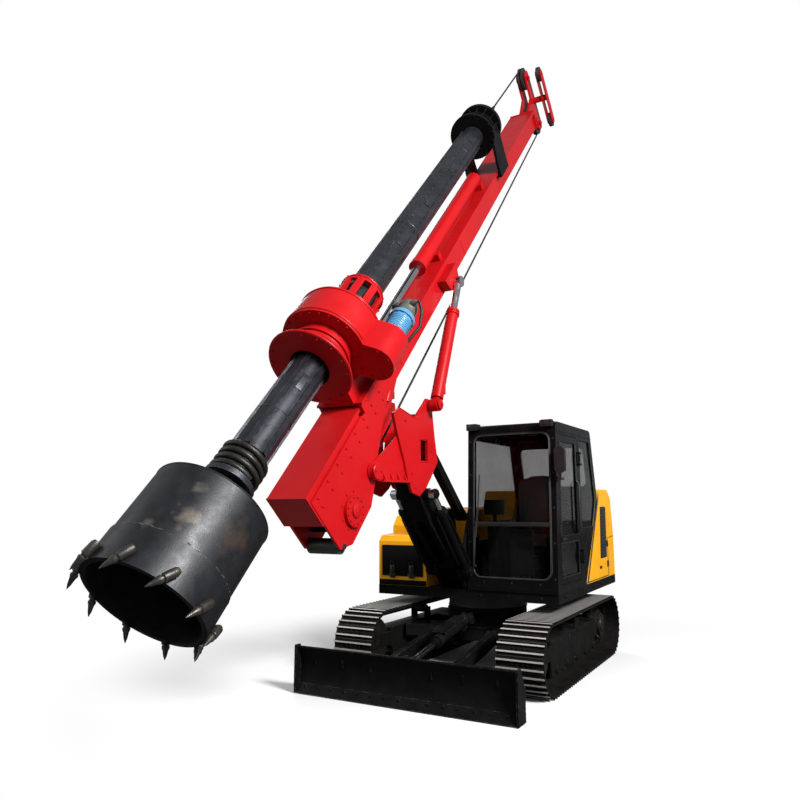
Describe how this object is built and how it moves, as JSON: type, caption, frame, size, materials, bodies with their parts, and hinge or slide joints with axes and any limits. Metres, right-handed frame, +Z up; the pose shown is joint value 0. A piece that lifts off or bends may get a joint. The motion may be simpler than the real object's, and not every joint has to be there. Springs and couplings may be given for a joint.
{
  "type": "rotary drilling rig",
  "caption": "Tracked excavator carrier with a boom-mounted drilling mast: power head, telescopic kelly and toothed core barrel for boring foundation piles.",
  "frame": {"origin": "on the ground under the slew axis, midway between the tracks", "axes": "+X to the machine's left (cab side), -Y forward towards blade and drill, +Z up"},
  "size_m": [2.2605, 7.8419, 8.3283],
  "materials": {
    "carrier_black": "satin",
    "carrier_yellow": "gloss",
    "rig_red": "gloss",
    "track_steel": "worn",
    "frame_black": "satin",
    "grey_iron": "satin",
    "kelly_steel": "worn",
    "barrel_steel": "worn",
    "tool_steel": "worn",
    "rod_chrome": "polished",
    "reducer_blue": "satin",
    "glass": "gloss",
    "seat_cloth": "matte",
    "trim_plastic": "matte",
    "lamp_plastic": "gloss",
    "rope_steel": "worn"
  },
  "bodies": {
    "undercarriage": {"lower_frame": "frame_black", "track_left": "track_steel", "track_right": "track_steel", "idlers": "grey_iron", "sprockets": "grey_iron", "track_rollers": "grey_iron", "slew_ring": "grey_iron"},
    "blade_body": {"blade": "carrier_black", "blade_arms": "frame_black"},
    "blade_barrel": {"blade_cylinder_barrel": "frame_black"},
    "blade_rod": {"blade_cylinder_rod": "rod_chrome"},
    "house": {"house_frame": "carrier_black", "counterweight": "carrier_yellow", "engine_hood": "carrier_yellow", "engine_block": "grey_iron", "tool_box": "carrier_yellow", "tank": "carrier_black", "rear_cover": "carrier_yellow", "cab_body": "carrier_black", "cab_floor": "carrier_black", "cab_roof": "carrier_black", "cab_glass": "glass", "seat": "seat_cloth", "controls": "trim_plastic", "work_lamps": "lamp_plastic", "mirror": "trim_plastic"},
    "door": {"cab_door": "carrier_black", "door_glass": "glass"},
    "boom_arm": {"boom": "carrier_black"},
    "boom_barrels": {"boom_cylinder_barrels": "frame_black"},
    "boom_rods": {"boom_cylinder_rods": "rod_chrome"},
    "link": {"support_link": "rig_red"},
    "bracket": {"mast_bracket": "rig_red"},
    "mast_barrels": {"mast_cylinder_barrels": "rig_red"},
    "mast_rods": {"mast_cylinder_rods": "rod_chrome"},
    "mast": {"mast_body": "rig_red", "mast_foot": "rig_red", "winch_drum": "rig_red", "foot_roller": "frame_black", "mast_head": "rig_red", "sheaves": "grey_iron", "crowd_barrel": "rig_red", "rope_front": "rope_steel", "rope_back": "rope_steel"},
    "head": {"power_head": "rig_red", "drive_motor": "reducer_blue", "crowd_rod": "rod_chrome"},
    "sleeve": {"drive_sleeve": "rig_red"},
    "guide": {"kelly_guide": "frame_black", "kelly_swivel": "kelly_steel"},
    "outer_kelly": {"kelly_outer": "kelly_steel"},
    "inner_kelly": {"kelly_inner": "kelly_steel", "kelly_stub": "kelly_steel", "kelly_spring": "tool_steel", "core_barrel": "barrel_steel", "bullet_teeth": "tool_steel"}
  },
  "joints": [
    {"name": "blade_lift", "type": "hinge", "parent": "undercarriage", "child": "blade_body", "pos_m": [0, -0.66, 0.4], "axis": [-1, 0, 0], "range_deg": [-10, 17]},
    {"name": "blade_cylinder_swing", "type": "hinge", "parent": "undercarriage", "child": "blade_barrel", "pos_m": [0, -0.56, 0.56], "axis": [-1, 0, 0], "range_deg": [-9.57, 15.93]},
    {"name": "blade_cylinder_stroke", "type": "slide", "parent": "blade_barrel", "child": "blade_rod", "axis": [0, -0.9844, -0.176], "range_m": [-0.053, 0.036]},
    {"name": "swing", "type": "hinge", "parent": "undercarriage", "child": "house", "pos_m": [0, 0, 0.766], "axis": [0, 0, 1], "continuous": true},
    {"name": "cab_door_swing", "type": "hinge", "parent": "house", "child": "door", "pos_m": [1.051, 0.172, 1.7], "axis": [0, 0, 1], "range_deg": [0, 95]},
    {"name": "boom_lift", "type": "hinge", "parent": "house", "child": "boom_arm", "pos_m": [-0.1, -0.55, 1], "axis": [1, 0, 0], "range_deg": [-20, 25]},
    {"name": "boom_cylinder_swing", "type": "hinge", "parent": "house", "child": "boom_barrels", "pos_m": [-0.1, -0.76, 1.06], "axis": [1, 0, 0], "range_deg": [-23.97, 29.84]},
    {"name": "boom_cylinder_stroke", "type": "slide", "parent": "boom_barrels", "child": "boom_rods", "axis": [0, -0.6867, 0.727], "range_m": [-0.053, 0.044]},
    {"name": "link_swing", "type": "hinge", "parent": "house", "child": "link", "pos_m": [-0.1, -0.45, 1.62], "axis": [1, 0, 0], "range_deg": [-20.5, 25.5]},
    {"name": "bracket_level", "type": "hinge", "parent": "boom_arm", "child": "bracket", "pos_m": [-0.1, -1.62, 1.95], "axis": [1, 0, 0], "range_deg": [-25.5, 20.5]},
    {"name": "mast_raise", "type": "hinge", "parent": "bracket", "child": "mast", "pos_m": [-0.1, -2.55577, 2.02418], "axis": [1, 0, 0], "range_deg": [-8, 46]},
    {"name": "mast_cylinder_swing", "type": "hinge", "parent": "bracket", "child": "mast_barrels", "pos_m": [-0.1, -1.59, 2.69], "axis": [1, 0, 0], "range_deg": [-11.17, 61.86]},
    {"name": "mast_cylinder_stroke", "type": "slide", "parent": "mast_barrels", "child": "mast_rods", "axis": [0, 0.3819, 0.9242], "range_m": [-0.148, 0.805]},
    {"name": "crowd", "type": "slide", "parent": "mast", "child": "head", "axis": [0, 0.6871, 0.7266], "range_m": [-0.25, 1.25]},
    {"name": "sleeve_turn", "type": "hinge", "parent": "head", "child": "sleeve", "pos_m": [-0.1, -3.81847, 2.15161], "axis": [0, 0.6871, 0.7266], "continuous": true},
    {"name": "kelly_hoist", "type": "slide", "parent": "mast", "child": "guide", "axis": [0, 0.6871, 0.7266], "range_m": [-2.8, 0.6], "deforming": ["rope_front"]},
    {"name": "kelly_turn", "type": "hinge", "parent": "guide", "child": "outer_kelly", "pos_m": [-0.1, -3.81847, 2.15161], "axis": [0, 0.6871, 0.7266], "continuous": true},
    {"name": "kelly_extend", "type": "slide", "parent": "outer_kelly", "child": "inner_kelly", "axis": [0, -0.6871, -0.7266], "range_m": [0, 5]}
  ],
  "couplings": [
    {"joint": "blade_cylinder_swing", "follows": "blade_lift", "ratio": 0.9074},
    {"joint": "blade_cylinder_stroke", "follows": "blade_lift", "m_per_rad": -0.1466},
    {"joint": "boom_cylinder_swing", "follows": "boom_lift", "ratio": 1.1734},
    {"joint": "boom_cylinder_stroke", "follows": "boom_lift", "m_per_rad": -0.0979},
    {"joint": "link_swing", "follows": "boom_lift", "ratio": 1},
    {"joint": "bracket_level", "follows": "boom_lift", "ratio": -1},
    {"joint": "mast_cylinder_swing", "follows": "mast_raise", "ratio": 1.3339},
    {"joint": "mast_cylinder_stroke", "follows": "mast_raise", "m_per_rad": 0.9907},
    {"joint": "sleeve_turn", "follows": "kelly_turn", "ratio": 1}
  ]
}
